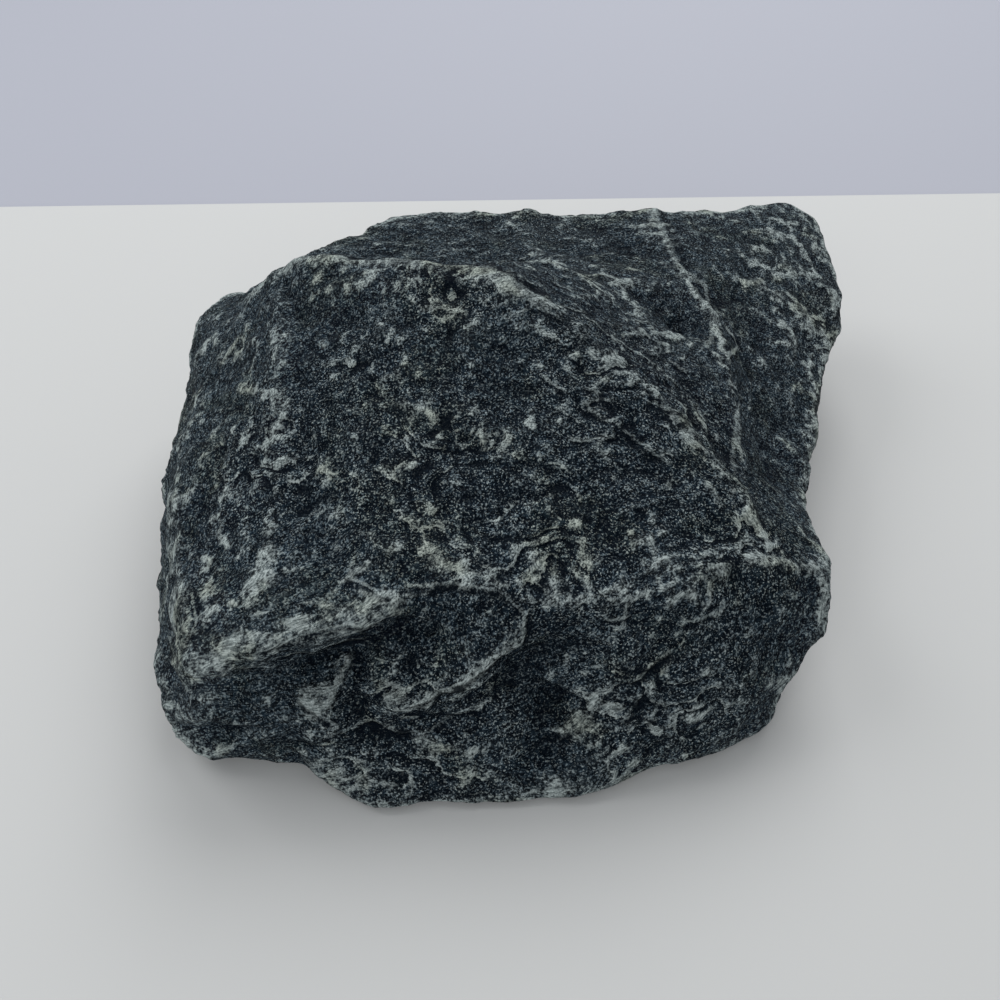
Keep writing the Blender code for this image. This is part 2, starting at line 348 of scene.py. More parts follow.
@dataclass(frozen=True)
class Stroke:
    """A pale scuff, or a broad patch of painted sheen, along a line or round a point.

    Attributes:
        line: its points, in millimetres.
        width: how far the scuff spreads to each side, in millimetres.
        strength: how worn or how sheened it is, from 0 to 1.
    """

    line: Line
    width: float
    strength: float

    def wear_and_sheen(self, points: Array) -> Array:
        """Work out how worn, or how pale with painted sheen, each point is: strength times exp(-(distance /
        width)^2).

        Args:
            points: places in millimetres, one per row.

        Returns:
            Wear, or painted sheen, from 0 to the stroke's strength.
        """
        ends = self.line if len(self.line) > 1 else self.line * 2
        nearest = np.full(len(points), np.inf)
        for start, end in zip(np.array(ends[:-1], float), np.array(ends[1:], float)):
            run = end - start
            share = np.clip((points - start) @ run / max(run @ run, TINY), 0, 1)
            nearest = np.minimum(nearest, length(points - start - share[:, None] * run)[:, 0])
        return self.strength * np.exp(-((nearest / self.width) ** 2))


@dataclass(frozen=True)
class Seam:
    """A crisp pale rim with painted shadow on its right, where the surface falls away, as one runs along it
    on the outside of the stone.

    Attributes:
        line: its points, in millimetres.
        pale: how pale it is, from 0 to 1.
        width: half the width of its pale rim, in millimetres.
        near: up to this far from the line it keeps its full strength, in millimetres.
        far: beyond this it can't be made out, in millimetres.
        depth: the line may lie this far above or below the surface, in millimetres.
    """

    line: Line
    pale: float
    width: float = 0.35
    near: float = 1.0
    far: float = 2.2
    depth: float = 4.0

    def across(self, points: Array, normals: Array) -> tuple[Array, Array]:
        """Work out how far each point lies across the line and how far from it.

        From the nearest place on the line, the distance across is the offset . (run x normal), and the
        distance is the offset's length along the surface.

        Args:
            points: places in millimetres, one per row.
            normals: the way out at each place.

        Returns:
            Distances to the right of the line, and distances from it.
        """
        across, nearest = np.zeros(len(points)), np.full(len(points), np.inf)
        for start, end in zip(np.array(self.line[:-1], float), np.array(self.line[1:], float)):
            run = end - start
            share = np.clip((points - start) @ run / (run @ run), 0, 1)
            offset = points - start - share[:, None] * run
            rise = (offset * normals).sum(axis=1, keepdims=True)
            distance = np.maximum(length(offset - rise * normals), length(offset) - self.depth)[:, 0]
            right = np.cross(run, normals)
            side = (offset * right).sum(axis=1) / length(right)[:, 0]
            closer = distance < nearest
            across[closer], nearest[closer] = side[closer], distance[closer]
        return across, nearest


@dataclass(frozen=True)
class Lie:
    """The way that the grain is drawn out round one place.

    Attributes:
        middle: the place, in millimetres.
        way: the direction of the grain there.
        reach: how far this lie holds, in millimetres.
        strength: how strongly the grain is drawn out, from 0 to 1.
    """

    middle: Point
    way: Point
    reach: float
    strength: float

    def share(self, points: Array) -> Array:
        """Work out how much this lie counts at each point: exp(-(distance / reach)^2).

        Args:
            points: places in millimetres, one per row.

        Returns:
            A share from 0 to 1 per point, kept as a column.
        """
        return np.exp(-((length(points - self.middle) / self.reach) ** 2))


@dataclass
class Skin:
    """A closed net of squares and what is worked out on it.

    Attributes:
        places: its points, in millimetres.
        squares: the four corners of every square.
    """

    places: Array
    squares: Array

    def pairs(self) -> Array:
        """Return the two ends of every edge of the net."""
        ends = np.concatenate([self.squares[:, [side, (side + 1) % 4]] for side in range(4)])
        return np.unique(np.sort(ends, axis=1), axis=0)

    def relaxed(self, values: Array, passes: int) -> Array:
        """Let each value move halfway to the mean of its neighbours, again and again.

        Args:
            values: one row per point.
            passes: how many times.

        Returns:
            The evened values.
        """
        first, second = self.pairs().T
        count = len(self.places)
        share = np.bincount(np.concatenate([first, second]), minlength=count)[:, None]
        for _ in range(passes):
            columns = [
                np.bincount(first, column[second], count) + np.bincount(second, column[first], count)
                for column in values.T
            ]
            values = (values + np.stack(columns, axis=1) / share) / 2
        return values

    def normals(self) -> Array:
        """Work out the way out at each point: the mean of the crossed diagonals of the squares round it."""
        corners = self.places[self.squares]
        facing = np.cross(corners[:, 2] - corners[:, 0], corners[:, 3] - corners[:, 1])
        count = len(self.places)
        total = np.zeros((count, AXES))
        for corner in range(4):
            for axis in range(AXES):
                total[:, axis] += np.bincount(self.squares[:, corner], facing[:, axis], count)
        return total / length(total)


@dataclass
class Stone:
    """The block of dunite: its fine surface, where it is worn, and how its grain lies.

    Attributes:
        form: the key lines that its shape hangs on.
        cells: squares along each edge of the six grids.
        crowding: how far directions are drawn up towards the top, where the stone is seen.
        wear_passes: how far its edges are rounded.
        wear_allowance: how far it is let out for the rounding, in millimetres.
        fade: height above the ground over which the relief comes up, in millimetres.
        reliefs: the layers of relief, from broad to fine.
        swirls: three draws of noise that turn the grain aside.
        ledges: noises whose sum steps up in small ledges.
        ledge_rise: how much that sum grows with each millimetre along x, y and z.
        ledge_steps: ledges for each one that the sum grows.
        ledge_tall: height of a ledge in the most rugged rock, in millimetres.
        ledge_share: how much of that height plain rock has, and how much more rugged rock adds.
        ledge_brink: part of a ledge's step where it climbs back.
        rugged_zones: middle and radius of each rugged zone.
        dents: middle, radius and height of each dent or lump.
        fine_proud: passes that tell what stands finely proud, how far is a full step, and its share of wear.
        broad_proud: the same for what stands broadly proud.
        hollow_passes: passes that tell how deep a hollow is.
        hollow_depth: depth from which a hollow counts in full, in millimetres.
        seed_strength: strength and share of the grain's drawing far from every lie.
        swirling: how far swirls turn the grain that isn't drawn out.
        drift: the way of the grain where nothing else gives one.
        faint: a sum of the lies' ways shorter than this stays faint.
    """

    form: KeyForm = KeyForm()
    cells: int = 127
    crowding: float = 0.25
    wear_passes: int = 3
    wear_allowance: float = 0.5
    fade: float = 3.5
    reliefs: tuple[Relief, ...] = (
        Relief((38.0, 38.0, 30.0), 1.6, 7, Crest.ROLLING), Relief((17.0, 14.0, 12.0), 3.0, 8),
        Relief((8.0, 7.0, 6.0), 1.6, 9), Relief((3.6, 3.4, 3.0), 0.8, 10),
        Relief((1.9, 1.9, 1.9), 0.35, 11, Crest.ROLLING),
    )
    swirls: tuple[Relief, ...] = (
        Relief((11.0, 11.0, 9.0), 1.0, 31), Relief((11.0, 11.0, 9.0), 1.0, 32),
        Relief((11.0, 11.0, 9.0), 1.0, 33),
    )
    ledges: tuple[Relief, ...] = (
        Relief((15.0, 12.0, 10.0), 1.0, 21, Crest.ROLLING), Relief((5.5, 4.5, 4.0), 0.4, 22, Crest.ROLLING),
    )
    ledge_rise: Point = (0.008, 0.03, 0.02)
    ledge_steps: float = 2.6
    ledge_tall: float = 0.9
    ledge_share: Span = (0.3, 0.9)
    ledge_brink: float = 0.72
    fine_proud: tuple[int, float, float] = (8, 0.12, 0.25)
    broad_proud: tuple[int, float, float] = (60, 0.5, 0.3)
    hollow_passes: int = 120
    hollow_depth: float = 1.0
    seed_strength: Span = (0.01, 0.03)
    swirling: float = 1.6
    drift: Point = (0.02, 0.0, 0.005)
    faint: float = 0.05
    rugged_zones: tuple[tuple[Point, float], ...] = (
        ((22, -24, 58), 20), ((-22, -42, 55), 17), ((0, -56, 48), 15), ((-60, -35, 52), 13),
        ((25, -75, 20), 16), ((-25, -80, 14), 17), ((40, -50, 44), 12), ((-20, 0, 71), 9),
        ((-40, -20, 63), 9), ((86, 40, 28), 12), ((-5, 76, 26), 26), ((-88, 0, 18), 14),
    )
    dents: tuple[tuple[Point, float, float], ...] = (
        ((-51, -34, 50), 8, -1.4), ((-50, -48, 47), 8, -2.0), ((-16, -50, 52), 12, -1.2),
        ((13, -45, 52), 9, -1.3), ((-11, -22, 61), 10, -1.0), ((52, -6, 33), 9, -2.0),
        ((36, 20, 46), 8, -2.0), ((2, -71, 30), 8, -2.4), ((-5, -73, 24), 7, -2.0), ((-25, -68, 36), 7, -2.4),
        ((-39, -71, 31), 7, -2.0), ((2, -72, 16), 5, -2.0), ((1, -79, 9), 5, -1.8),
        ((-68, -71, 14), 10, -1.5), ((-78, 24, 50), 4, -2.4), ((37, 30, 49), 4.5, -1.4),
        ((39, 20, 47), 4.5, -1.4), ((-55, 3, 60), 4, -1.2), ((-41, -71, 26), 4, 1.6),
        ((-46, -75, 21), 5, 2.2), ((-44, -79, 15), 4, 1.6), ((-38, -72, 27), 2.6, -2.6),
        ((-39, -77, 22), 2.8, -2.4), ((-41, -74, 28), 2.2, 1.4), ((-45, -78, 25), 3.0, 1.4),
        ((-30, -78, 25), 2.4, 1.0), ((-13, -66, 45), 6, 1.2), ((33, -56, 43), 8, 1.2),
        ((-38, -74, 20), 5, -1.6),
    )

    def strokes(self) -> list[Stroke]:
        """Return the pale scuffs: along the worn edges first, then on the faces, two of them partly painted
        sheen.
        """
        form = self.form
        edges = [
            Stroke(form.front_lip[1:], 2.0, 0.25), Stroke(form.crest[:3], 2.2, 0.5),
            Stroke(form.crest[2:6], 2.4, 0.9), Stroke(form.crest[5:], 1.8, 0.4),
            Stroke(form.side_ridge, 1.5, 0.75), Stroke(form.left_edge, 2.6, 0.45),
            Stroke(form.left_shoulder, 3.2, 0.4), Stroke(form.left_ridge[1:], 3.0, 0.25),
            Stroke(form.lobe_rim, 1.2, 0.7), Stroke(form.knob, 1.4, 0.5), Stroke(form.back_rim, 2.0, 0.4),
            Stroke(form.right_rim, 2.2, 0.5), Stroke(form.left_rim, 2.5, 0.4), Stroke(form.ledge, 1.4, 0.6),
            Stroke(form.foot, 2.0, 0.35), Stroke(form.back_ledge, 2.0, 0.4),
            Stroke(((-28, -80, 14), (-17, -81, 11), (-9, -80, 11)), 1.1, 0.6),
            Stroke(((22, -74, 23), (26, -70, 28)), 1.0, 0.6),
            Stroke(((-83, -32, 34), (-80, -46, 33), (-77, -60, 32), (-79, -66, 24)), 5.0, 0.8),
            # Partly wear and partly painted sheen: broad pale veils on the back panel and the slope behind
            # the crest, where the light from behind falls.
            Stroke(((70, 62, 42), (76, 32, 34)), 16.0, 0.45), Stroke(((5, 32, 55), (28, 10, 54)), 12.0, 0.5),
        ]
        patches = {
            "left face": (
                (((-78, 8, 47), (-67, -1, 54)), 3.6, 0.6),
                (((-67, -12, 52), (-61, -18, 56), (-56, -22, 56)), 1.6, 0.75),
                (((-56, -26, 54), (-59, -30, 53)), 2.3, 1.0), (((-72, -17, 47), (-76, -20, 43)), 1.0, 1.0),
                (((-57, -38, 51), (-52, -34, 51)), 1.5, 0.85), (((-57, -51, 46), (-55, -57, 46)), 1.8, 1.0),
                (((-71, -43, 41), (-66, -51, 42)), 2.0, 0.75), (((-71, -52, 39), (-68, -62, 39)), 2.0, 0.85),
                (((-67, -66, 39),), 2.2, 0.75), (((-58, -64, 44), (-53, -62, 45)), 2.0, 0.75),
                (((-50, -72, 41), (-39, -70, 44), (-31, -68, 45)), 2.3, 0.85),
                (((-86, 7, 40), (-87, 4, 35)), 1.4, 0.7), (((-71, -36, 43), (-63, -40, 46)), 2.5, 0.4),
            ),
            "upper face": (
                (((-31, -28, 61), (-28, -30, 59)), 1.7, 0.85), (((-24, -29, 60), (-22, -33, 57)), 1.0, 0.8),
                (((-30, -17, 65), (-31, -21, 64), (-30, -23, 63)), 1.0, 0.65),
                (((-20, -8, 69), (-16, -13, 68)), 1.3, 0.65), (((-24, -4, 70), (-19, -7, 70)), 2.2, 0.5),
                (((4, -11, 66), (13, -20, 61)), 4.0, 0.4), (((-48, 4, 66),), 5.0, 0.3),
            ),
            "middle of the face": (
                (((-33, -41, 55), (-28, -41, 56)), 1.5, 1.0),
                (((-23, -49, 52), (-21, -53, 50), (-21, -56, 49)), 0.9, 0.8),
                (((-45, -40, 53), (-46, -43, 51)), 0.8, 0.7), (((-13, -34, 58), (-12, -37, 56)), 0.9, 0.9),
                (((-7, -35, 58), (-9, -39, 56)), 0.9, 0.85), (((-7, -32, 58), (3, -30, 58)), 2.4, 0.45),
            ),
            "right of the face": (
                (((13, -36, 54), (15, -40, 51)), 1.2, 0.85), (((22, -48, 47), (24, -51, 46)), 1.6, 0.75),
                (((44, -43, 45), (46, -47, 42), (48, -52, 40)), 1.4, 0.85), (((29, -44, 47),), 1.2, 0.85),
                (((27, -40, 49),), 1.5, 0.85), (((35, -40, 49), (38, -44, 46)), 0.9, 0.7),
                (((41, -40, 47),), 0.9, 1.0), (((39, -37, 49),), 0.8, 0.9),
                (((29, -26, 56), (32, -30, 53)), 2.3, 0.6), (((35, -22, 51), (39, -23, 47)), 1.5, 0.7),
                (((60, -53, 33), (60, -57, 28)), 1.6, 0.7),
            ),
            "lip": (
                (((-24, -58, 49), (-22, -61, 48)), 2.0, 0.95), (((-19, -62, 47), (-12, -62, 46)), 2.4, 0.7),
                (((-13, -58, 48),), 1.8, 0.75), (((-39, -64, 46), (-34, -61, 48)), 1.0, 0.85),
                (((-31, -62, 47), (-31, -59, 49), (-28, -58, 49)), 0.9, 0.65),
                (((-39, -53, 50), (-37, -55, 49)), 0.9, 0.75), (((6, -51, 49), (8, -50, 48)), 1.2, 0.75),
                (((-5, -57, 48), (0, -55, 48)), 1.3, 0.85),
                (((-4, -57, 47), (2, -61, 45), (4, -63, 44)), 1.6, 0.75),
                (((7, -56, 47), (9, -60, 46)), 1.6, 0.75), (((1, -65, 44), (4, -64, 44)), 2.4, 0.9),
                (((13, -65, 44), (18, -62, 43)), 1.4, 0.75), (((22, -60, 44),), 3.0, 1.0),
                (((18, -54, 47), (26, -55, 45)), 2.2, 0.65), (((30, -57, 44),), 2.0, 0.75),
                (((25, -65, 40), (29, -64, 41)), 1.3, 0.9), (((36, -58, 43), (33, -62, 40)), 1.4, 0.85),
                (((40, -52, 43), (43, -55, 42)), 1.7, 0.85),
                (((41, -54, 42), (49, -54, 40), (58, -52, 35)), 1.4, 0.95),
            ),
            "front": (
                (((32, -75, 16),), 2.2, 0.85), (((50, -68, 16),), 2.6, 0.75),
                (((-66, -74, 36), (-59, -73, 39), (-53, -74, 39)), 2.2, 0.8), (((-46, -78, 26),), 3.2, 1.0),
                (((-30, -77, 26),), 2.2, 1.0), (((-71, -74, 28),), 2.2, 1.0), (((-80, -69, 16),), 5.0, 0.5),
                (((4, -85, 3),), 4.0, 0.7), (((-41, -84, 6),), 5.0, 0.6), (((-51, -81, 8),), 3.0, 0.6),
            ),
            "behind the crest": (
                (((22, 25, 55),), 3.6, 1.0), (((25, 4, 56),), 2.4, 0.7), (((45, 5, 47),), 2.2, 1.0),
                (((35, 63, 51),), 4.0, 0.6), (((86, 51, 34),), 5.0, 0.6), (((76, 24, 30),), 4.0, 0.5),
            ),
        }
        return edges + [Stroke(*patch) for group in patches.values() for patch in group]

    def seams(self) -> list[Seam]:
        """Return the crisp rims: on the crest and the ridge, the lobe, the lip, the knob and the slopes."""
        form = self.form
        return [
            Seam(form.crest[5::-1], 0.75, width=1.3, near=3.0, far=7.0, depth=5.0),
            Seam(form.side_ridge[3::-1], 0.6, width=0.9, near=2.0, far=5.0, depth=5.0),
            Seam((
                (-26, -79, 25), (-20, -77, 27), (-13, -75, 31), (-8, -72, 33), (-5, -71, 35), (-4, -68, 40),
            ), 1.0),
            Seam(((-26, -65, 45), (-18, -65, 46), (-9, -66, 45), (-4, -68, 40)), 0.7),
            Seam(((-38, -64, 46), (-32, -67, 45), (-28, -68, 44)), 0.7),
            Seam(((-56, -76, 38), (-46, -73, 41), (-39, -73, 43), (-32, -70, 41), (-29, -68, 44)), 0.8),
            Seam(((-52, -74, 34), (-44, -72, 34), (-38, -69, 33)), 0.8),
            Seam(((-69, -74, 29), (-62, -76, 34), (-55, -73, 29)), 0.5),
            Seam(((-44, -78, 24), (-42, -76, 27), (-41, -73, 28), (-40, -71, 29)), 1.0, 0.7),
            Seam(((-49, -79, 25), (-46, -80, 23), (-43, -80, 19)), 0.8),
            Seam((
                (-43, -81, 17), (-39, -79, 16), (-38, -78, 17),
                (-35, -78, 18), (-30, -79, 15), (-25, -79, 15),
            ), 0.7),
            Seam(((-22, -78, 16), (-19, -77, 18), (-15, -76, 19)), 0.6),
            Seam((
                (-73, -76, 21), (-72, -75, 23), (-77, -69, 23),
                (-81, -61, 22), (-75, -64, 34), (-74, -58, 37),
            ), 0.6),
            Seam(((-71, -73, 31), (-70, -67, 37), (-72, -61, 37)), 0.7),
            Seam(((19, -73, 25), (22, -71, 27), (25, -70, 29)), 0.9),
            Seam(((17, -77, 17), (19, -75, 19), (20, -75, 21)), 0.7),
            Seam(((19, -78, 15), (22, -77, 16), (24, -75, 19)), 0.7),
            Seam(((4, -78, 11), (5, -79, 15), (9, -78, 17), (12, -74, 20)), 0.7),
            Seam(((13, -69, 39), (16, -68, 39), (16, -67, 41)), 0.8),
            Seam(((29, -66, 35), (34, -64, 35)), 0.7),
            Seam(((39, 39, 50), (46, 39, 47), (48, 31, 45), (47, 22, 46), (42, 10, 48)), 0.7, 0.8),
            Seam(((50, 24, 43), (52, 22, 42), (53, 20, 40), (48, 10, 45)), 0.9, 0.6),
            Seam(((47, -1, 45), (50, 1, 39), (47, -12, 44), (44, -23, 43), (43, -30, 44)), 0.7, 0.6),
            Seam(((4, 10, 66), (7, 8, 66)), 0.6), Seam(((5, -1, 67), (8, -2, 67), (10, 0, 65)), 0.8),
            Seam(((11, -3, 65), (15, -5, 63), (17, -7, 62), (20, -7, 60)), 0.8),
            Seam(((1, -6, 69), (4, -7, 68)), 0.7), Seam(((21, 0, 59), (25, 4, 56)), 0.8, 0.6),
            Seam(((23, -8, 59), (25, -9, 58)), 0.9, 0.5), Seam(((26, -3, 55), (29, 0, 53), (29, 3, 54)), 0.6),
            Seam(((32, -3, 52), (34, -4, 52)), 0.8, 0.5), Seam(((10, -22, 60), (12, -22, 59)), 0.8),
            Seam(((10, -25, 59), (12, -24, 59), (14, -24, 59)), 0.9, 0.5),
            Seam(((11, -27, 58), (13, -28, 57), (15, -28, 56)), 0.9, 0.5),
            Seam(((1, -21, 62), (4, -23, 61)), 0.8),
            Seam(((24, -23, 57), (28, -24, 56), (31, -24, 54), (34, -23, 52)), 0.7),
            Seam(((17, -30, 56), (19, -31, 55)), 0.8),
            Seam(((7, -33, 55), (10, -33, 55), (14, -32, 55)), 0.9, 0.5),
            Seam(((20, -32, 54), (26, -35, 51)), 0.7),
        ]

    def lies(self) -> list[Lie]:
        """Return the places that set how the grain is drawn out."""
        return [
            Lie((-20, -30, 58), (0.45, 0.85, 0.3), 36, 0.15), Lie((10, -5, 66), (0.8, -0.6, -0.4), 15, 0.3),
            Lie((34, -28, 53), (0.8, -0.6, -0.4), 16, 0.35), Lie((58, -40, 34), (0.5, -0.8, -0.3), 15, 0.45),
            Lie((70, 40, 36), (0.15, 1.0, 0.1), 34, 0.15), Lie((-10, 50, 52), (1.0, 0.15, 0.0), 34, 0.12),
            Lie((-90, -10, 25), (0.0, 1.0, 0.25), 26, 0.8), Lie((-70, -40, 42), (0.4, 0.9, 0.3), 18, 0.25),
            Lie((-83, -46, 32), (0.12, 1.0, 0.12), 11, 0.95), Lie((-45, -71, 30), (1.0, 0.05, 0.22), 13, 1.0),
            Lie((-62, -76, 14), (1.0, 0.0, 0.5), 16, 0.6), Lie((-18, -70, 34), (0.4, 0.0, 1.0), 11, 0.35),
            Lie((-5, -74, 24), (1.0, 0.0, 0.5), 12, 0.6), Lie((-25, -84, 10), (1.0, 0.0, 0.15), 18, 0.5),
            Lie((22, -70, 24), (0.7, 0.0, 0.75), 15, 0.6), Lie((45, -62, 28), (0.25, 0.0, 1.0), 14, 0.45),
            Lie((24, -79, 12), (0.8, 0.0, 0.6), 12, 0.6), Lie((45, -70, 8), (1.0, 0.1, 0.45), 12, 0.6),
            Lie((0, 76, 28), (1.0, 0.0, 0.25), 40, 0.6),
        ]

    def net(self) -> Skin:
        """Wrap six grids round the stone and sew their edges together.

        A point is where its direction from the heart meets the form; directions are drawn up by the crowding.

        Returns:
            The closed net, on the form with its edges worn round.
        """
        grids = np.concatenate([side.grid(self.cells).reshape(-1, AXES) for side in CubeSide])
        directions = grids / length(grids)
        rounded = np.round(directions, decimals=6)
        _, kept, places = np.unique(rounded, axis=0, return_index=True, return_inverse=True)
        directions = directions[kept] + (0.0, 0.0, self.crowding)
        directions /= length(directions)
        row = self.cells + 1
        corner = np.arange(row * row).reshape(row, row)
        square = np.stack([corner[:-1, :-1], corner[1:, :-1], corner[1:, 1:], corner[:-1, 1:]], axis=-1)
        square = square.reshape(-1, 4)
        squares = np.concatenate([square + side * row * row for side in range(len(CubeSide))])
        skin = Skin(self.form.surface(directions), places.ravel()[squares])
        skin.places = skin.relaxed(skin.places, self.wear_passes)
        return skin

    def roughen(self, skin: Skin) -> None:
        """Lay the relief and the dents over the breaks, and set the stone down on the ground.

        A dent is tall * exp(-(distance / radius)^2). A ledge sinks evenly along a step and climbs back at its
        end. The sum is laid halfway between the way that a point faces and its way from the heart, fades out
        towards the ground, and nothing reaches below it.

        Args:
            skin: the net, changed in place.
        """
        height = sum(relief.height(skin.places) for relief in self.reliefs)
        step = self.ledge(skin.places) % 1
        least, more = self.ledge_share
        tall = self.ledge_tall * (least + more * self.rugged(skin.places))
        height += tall * (smooth_step(step, self.ledge_brink, 1.0) - step)
        for middle, radius, lift in self.dents:
            height += lift * np.exp(-(((skin.places - middle) / radius) ** 2).sum(axis=1))
        height = (height + self.wear_allowance) * np.clip(skin.places[:, 2] / self.fade, 0, 1)
        radial = skin.places - self.form.heart
        outwards = skin.normals() + radial / length(radial)
        skin.places = skin.places + outwards / length(outwards) * height[:, None]
        skin.places[:, 2] = np.maximum(skin.places[:, 2], 0)

    def ledge(self, points: Array) -> Array:
        """Count the small ledges up to each point: noise and a rise towards the back, times the steps.

        Args:
            points: places in millimetres, one per row.

        Returns:
            The count, whose whole numbers are the brinks of the ledges.
        """
        climb = points @ np.array(self.ledge_rise)
        return self.ledge_steps * (sum(relief.height(points) for relief in self.ledges) + climb)

    def rugged(self, points: Array) -> Array:
        """Work out how rugged the stone is at each point.

        It is the strongest exp(-(distance / radius)^2) of the rugged zones.

        Args:
            points: places in millimetres, one per row.

        Returns:
            Ruggedness from 0 to 1.
        """
        reaches = [length(points - middle)[:, 0] / radius for middle, radius in self.rugged_zones]
        return np.exp(-(np.min(reaches, axis=0) ** 2))

    def wear_and_sheen(self, skin: Skin) -> Array:
        """Work out how worn, or pale with painted sheen, each point is: the strongest stroke, and more on
        what stands proud.

        Args:
            skin: the finished net.

        Returns:
            Wear and painted sheen from 0 to 1.
        """
        wear_and_sheen = np.max([stroke.wear_and_sheen(skin.places) for stroke in self.strokes()], axis=0)
        for passes, full, share in (self.fine_proud, self.broad_proud):
            wear_and_sheen = wear_and_sheen + share * np.clip(self.proud(skin, passes) / full, -1, 1)
        return np.clip(wear_and_sheen, 0, 1)

    def rims(self, skin: Skin) -> tuple[Array, Array]:
        """Find the nearest seam at each point.

        Args:
            skin: the finished net.

        Returns:
            How far to the right of it a point lies, in its widths, and how strong it is, from 0 to 1.
        """
        seam, rim = np.zeros((2, len(skin.places)))
        nearest = np.full(len(skin.places), np.inf)
        normals = skin.normals()
        for line in self.seams():
            across, distance = line.across(skin.places, normals)
            closer = distance < nearest
            seam[closer], nearest[closer] = across[closer] / line.width, distance[closer]
            rim[closer] = line.pale * (1 - smooth_step(distance[closer], line.near, line.far))
        return seam, rim

    def proud(self, skin: Skin, passes: int) -> Array:
        """Work out how far each point stands out from the evened surface, minus where it is sunk."""
        return ((skin.places - skin.relaxed(skin.places, passes)) * skin.normals()).sum(axis=1)

    def lie(self, skin: Skin) -> Array:
        """Work out which way the grain lies at each point, laid flat on the surface.

        The ways of all the lies are added by their shares, and swirls of noise turn them aside. The length of
        the result is how strongly the grain is drawn out: the mean of the lies' strengths by the same shares.

        Args:
            skin: the finished net.

        Returns:
            One direction per point, from 0 to 1 long.
        """
        lies = self.lies()
        shares = [lie.share(skin.places) for lie in lies]
        way = sum(share * np.array(lie.way) / np.linalg.norm(lie.way) for share, lie in zip(shares, lies))
        seed, weight = self.seed_strength
        strength = sum(share * lie.strength for share, lie in zip(shares, lies)) + seed
        strength = strength / (sum(shares) + weight)
        swirl = np.stack([relief.noise(skin.places / relief.size) for relief in self.swirls], axis=1)
        way = way / np.maximum(length(way), self.faint) + swirl * (self.swirling - strength) + self.drift
        normals = skin.normals()
        way = way - (way * normals).sum(axis=1, keepdims=True) * normals
        return strength * way / np.maximum(length(way), TINY)

    def build(self) -> bpy.types.Object:
        """Make the stone's mesh, with what is worked out on its surface as attributes of its points.

        Returns:
            The stone, at the origin, with its place in its mesh.
        """
        skin = self.net()
        ledge = self.ledge(skin.places)
        rugged = self.rugged(skin.places)
        self.roughen(skin)
        wear_and_sheen = self.wear_and_sheen(skin)
        # How deep each point lies in a hollow; the finish paints shade there from it.
        hollow = np.clip(-self.proud(skin, self.hollow_passes) / self.hollow_depth, 0, 1)
        seam, rim = self.rims(skin)
        mesh = bpy.data.meshes.new("stone")
        mesh.from_pydata((skin.places + self.form.centring) * MM, [], skin.squares)
        values = {"wear_and_sheen": wear_and_sheen, "hollow": hollow, "ledge": ledge, "rugged": rugged, "seam": seam, "rim": rim}
        for name, numbers in values.items():
            kept = mesh.attributes.new(name, "FLOAT", "POINT")
            kept.data.foreach_set("value", numbers.astype(np.float32))
        kept = mesh.attributes.new("lie", "FLOAT_VECTOR", "POINT")
        kept.data.foreach_set("vector", self.lie(skin).astype(np.float32).ravel())
        mesh.shade_smooth()
        stone = bpy.data.objects.new("stone", mesh)
        bpy.context.scene.collection.objects.link(stone)
        return stone

    def dress(self, stone: bpy.types.Object) -> None:
        """Give the stone its finish."""
        stone.data.materials.append(DuniteFinish().material())


@dataclass
class Graph:
    """A node tree, with a short way to add its nodes.

    Attributes:
        tree: the tree.
        finer: how much each finer layer of a noise counts beside the one before.
    """

    tree: bpy.types.NodeTree
    finer: float = 0.6

    def add(self, kind: str, inputs: dict[Any, Any] | None = None, **settings: Any) -> bpy.types.Node:
        """Add a node, set it up and join or fill its inputs.

        Args:
            kind: the node's type.
            inputs: a value, or a socket to join, for each input's name or number.
            settings: the node's own settings.

        Returns:
            The new node.
        """
        node = self.tree.nodes.new(kind)
        for name, value in settings.items():
            setattr(node, name, value)
        for name, value in (inputs or {}).items():
            if isinstance(value, bpy.types.NodeSocket):
                self.tree.links.new(value, node.inputs[name])
            else:
                node.inputs[name].default_value = value
        return node

    def math(self, operation: str, *values: Any) -> bpy.types.NodeSocket:
        """Add a Math node and return its value."""
        return self.add("ShaderNodeMath", dict(enumerate(values)), operation=operation).outputs[0]

    def noise(self, place: Any, size: float, detail: float, bend: float) -> bpy.types.NodeSocket:
        """Add noise with swells as long as the size, in millimetres, and bent out of line."""
        inputs = {"Vector": place, "Scale": 1 / size, "Detail": detail, "Distortion": bend}
        return self.add("ShaderNodeTexNoise", inputs | {"Roughness": self.finer}).outputs[0]

    def between(self, value: Any, low: Any, high: Any) -> bpy.types.NodeSocket:
        """Add a smooth step from 0 at low to 1 at high, and return it."""
        inputs = {"Value": value, "From Min": low, "From Max": high}
        return self.add("ShaderNodeMapRange", inputs, interpolation_type="SMOOTHSTEP").outputs[0]

    def mix(self, share: Any, first: Any, second: Any, blend: str = "MIX") -> bpy.types.NodeSocket:
        """Add a mix of two colours and return it."""
        inputs = {0: share, 6: first, 7: second}
        return self.add("ShaderNodeMix", inputs, data_type="RGBA", blend_type=blend).outputs[2]

    def attribute(self, name: str) -> bpy.types.NodeSocket:
        """Add a number that is kept on the mesh and return it."""
        return self.add("ShaderNodeAttribute", attribute_name=name).outputs["Fac"]

    def rest(self, share: Any) -> bpy.types.NodeSocket:
        """Return what a share leaves of one."""
        return self.math("SUBTRACT", 1.0, share)

    def total(self, at: Sockets, weights: Weights, total: Any = 0.0) -> bpy.types.NodeSocket:
        """Add up named sockets, each times its weight, and return the sum.

        Args:
            at: the sockets by name.
            weights: the names and their weights.
            total: what the sum starts from.

        Returns:
            The sum.
        """
        for name, weight in weights:
            total = self.math("MULTIPLY_ADD", at[name], weight, total)
        return total


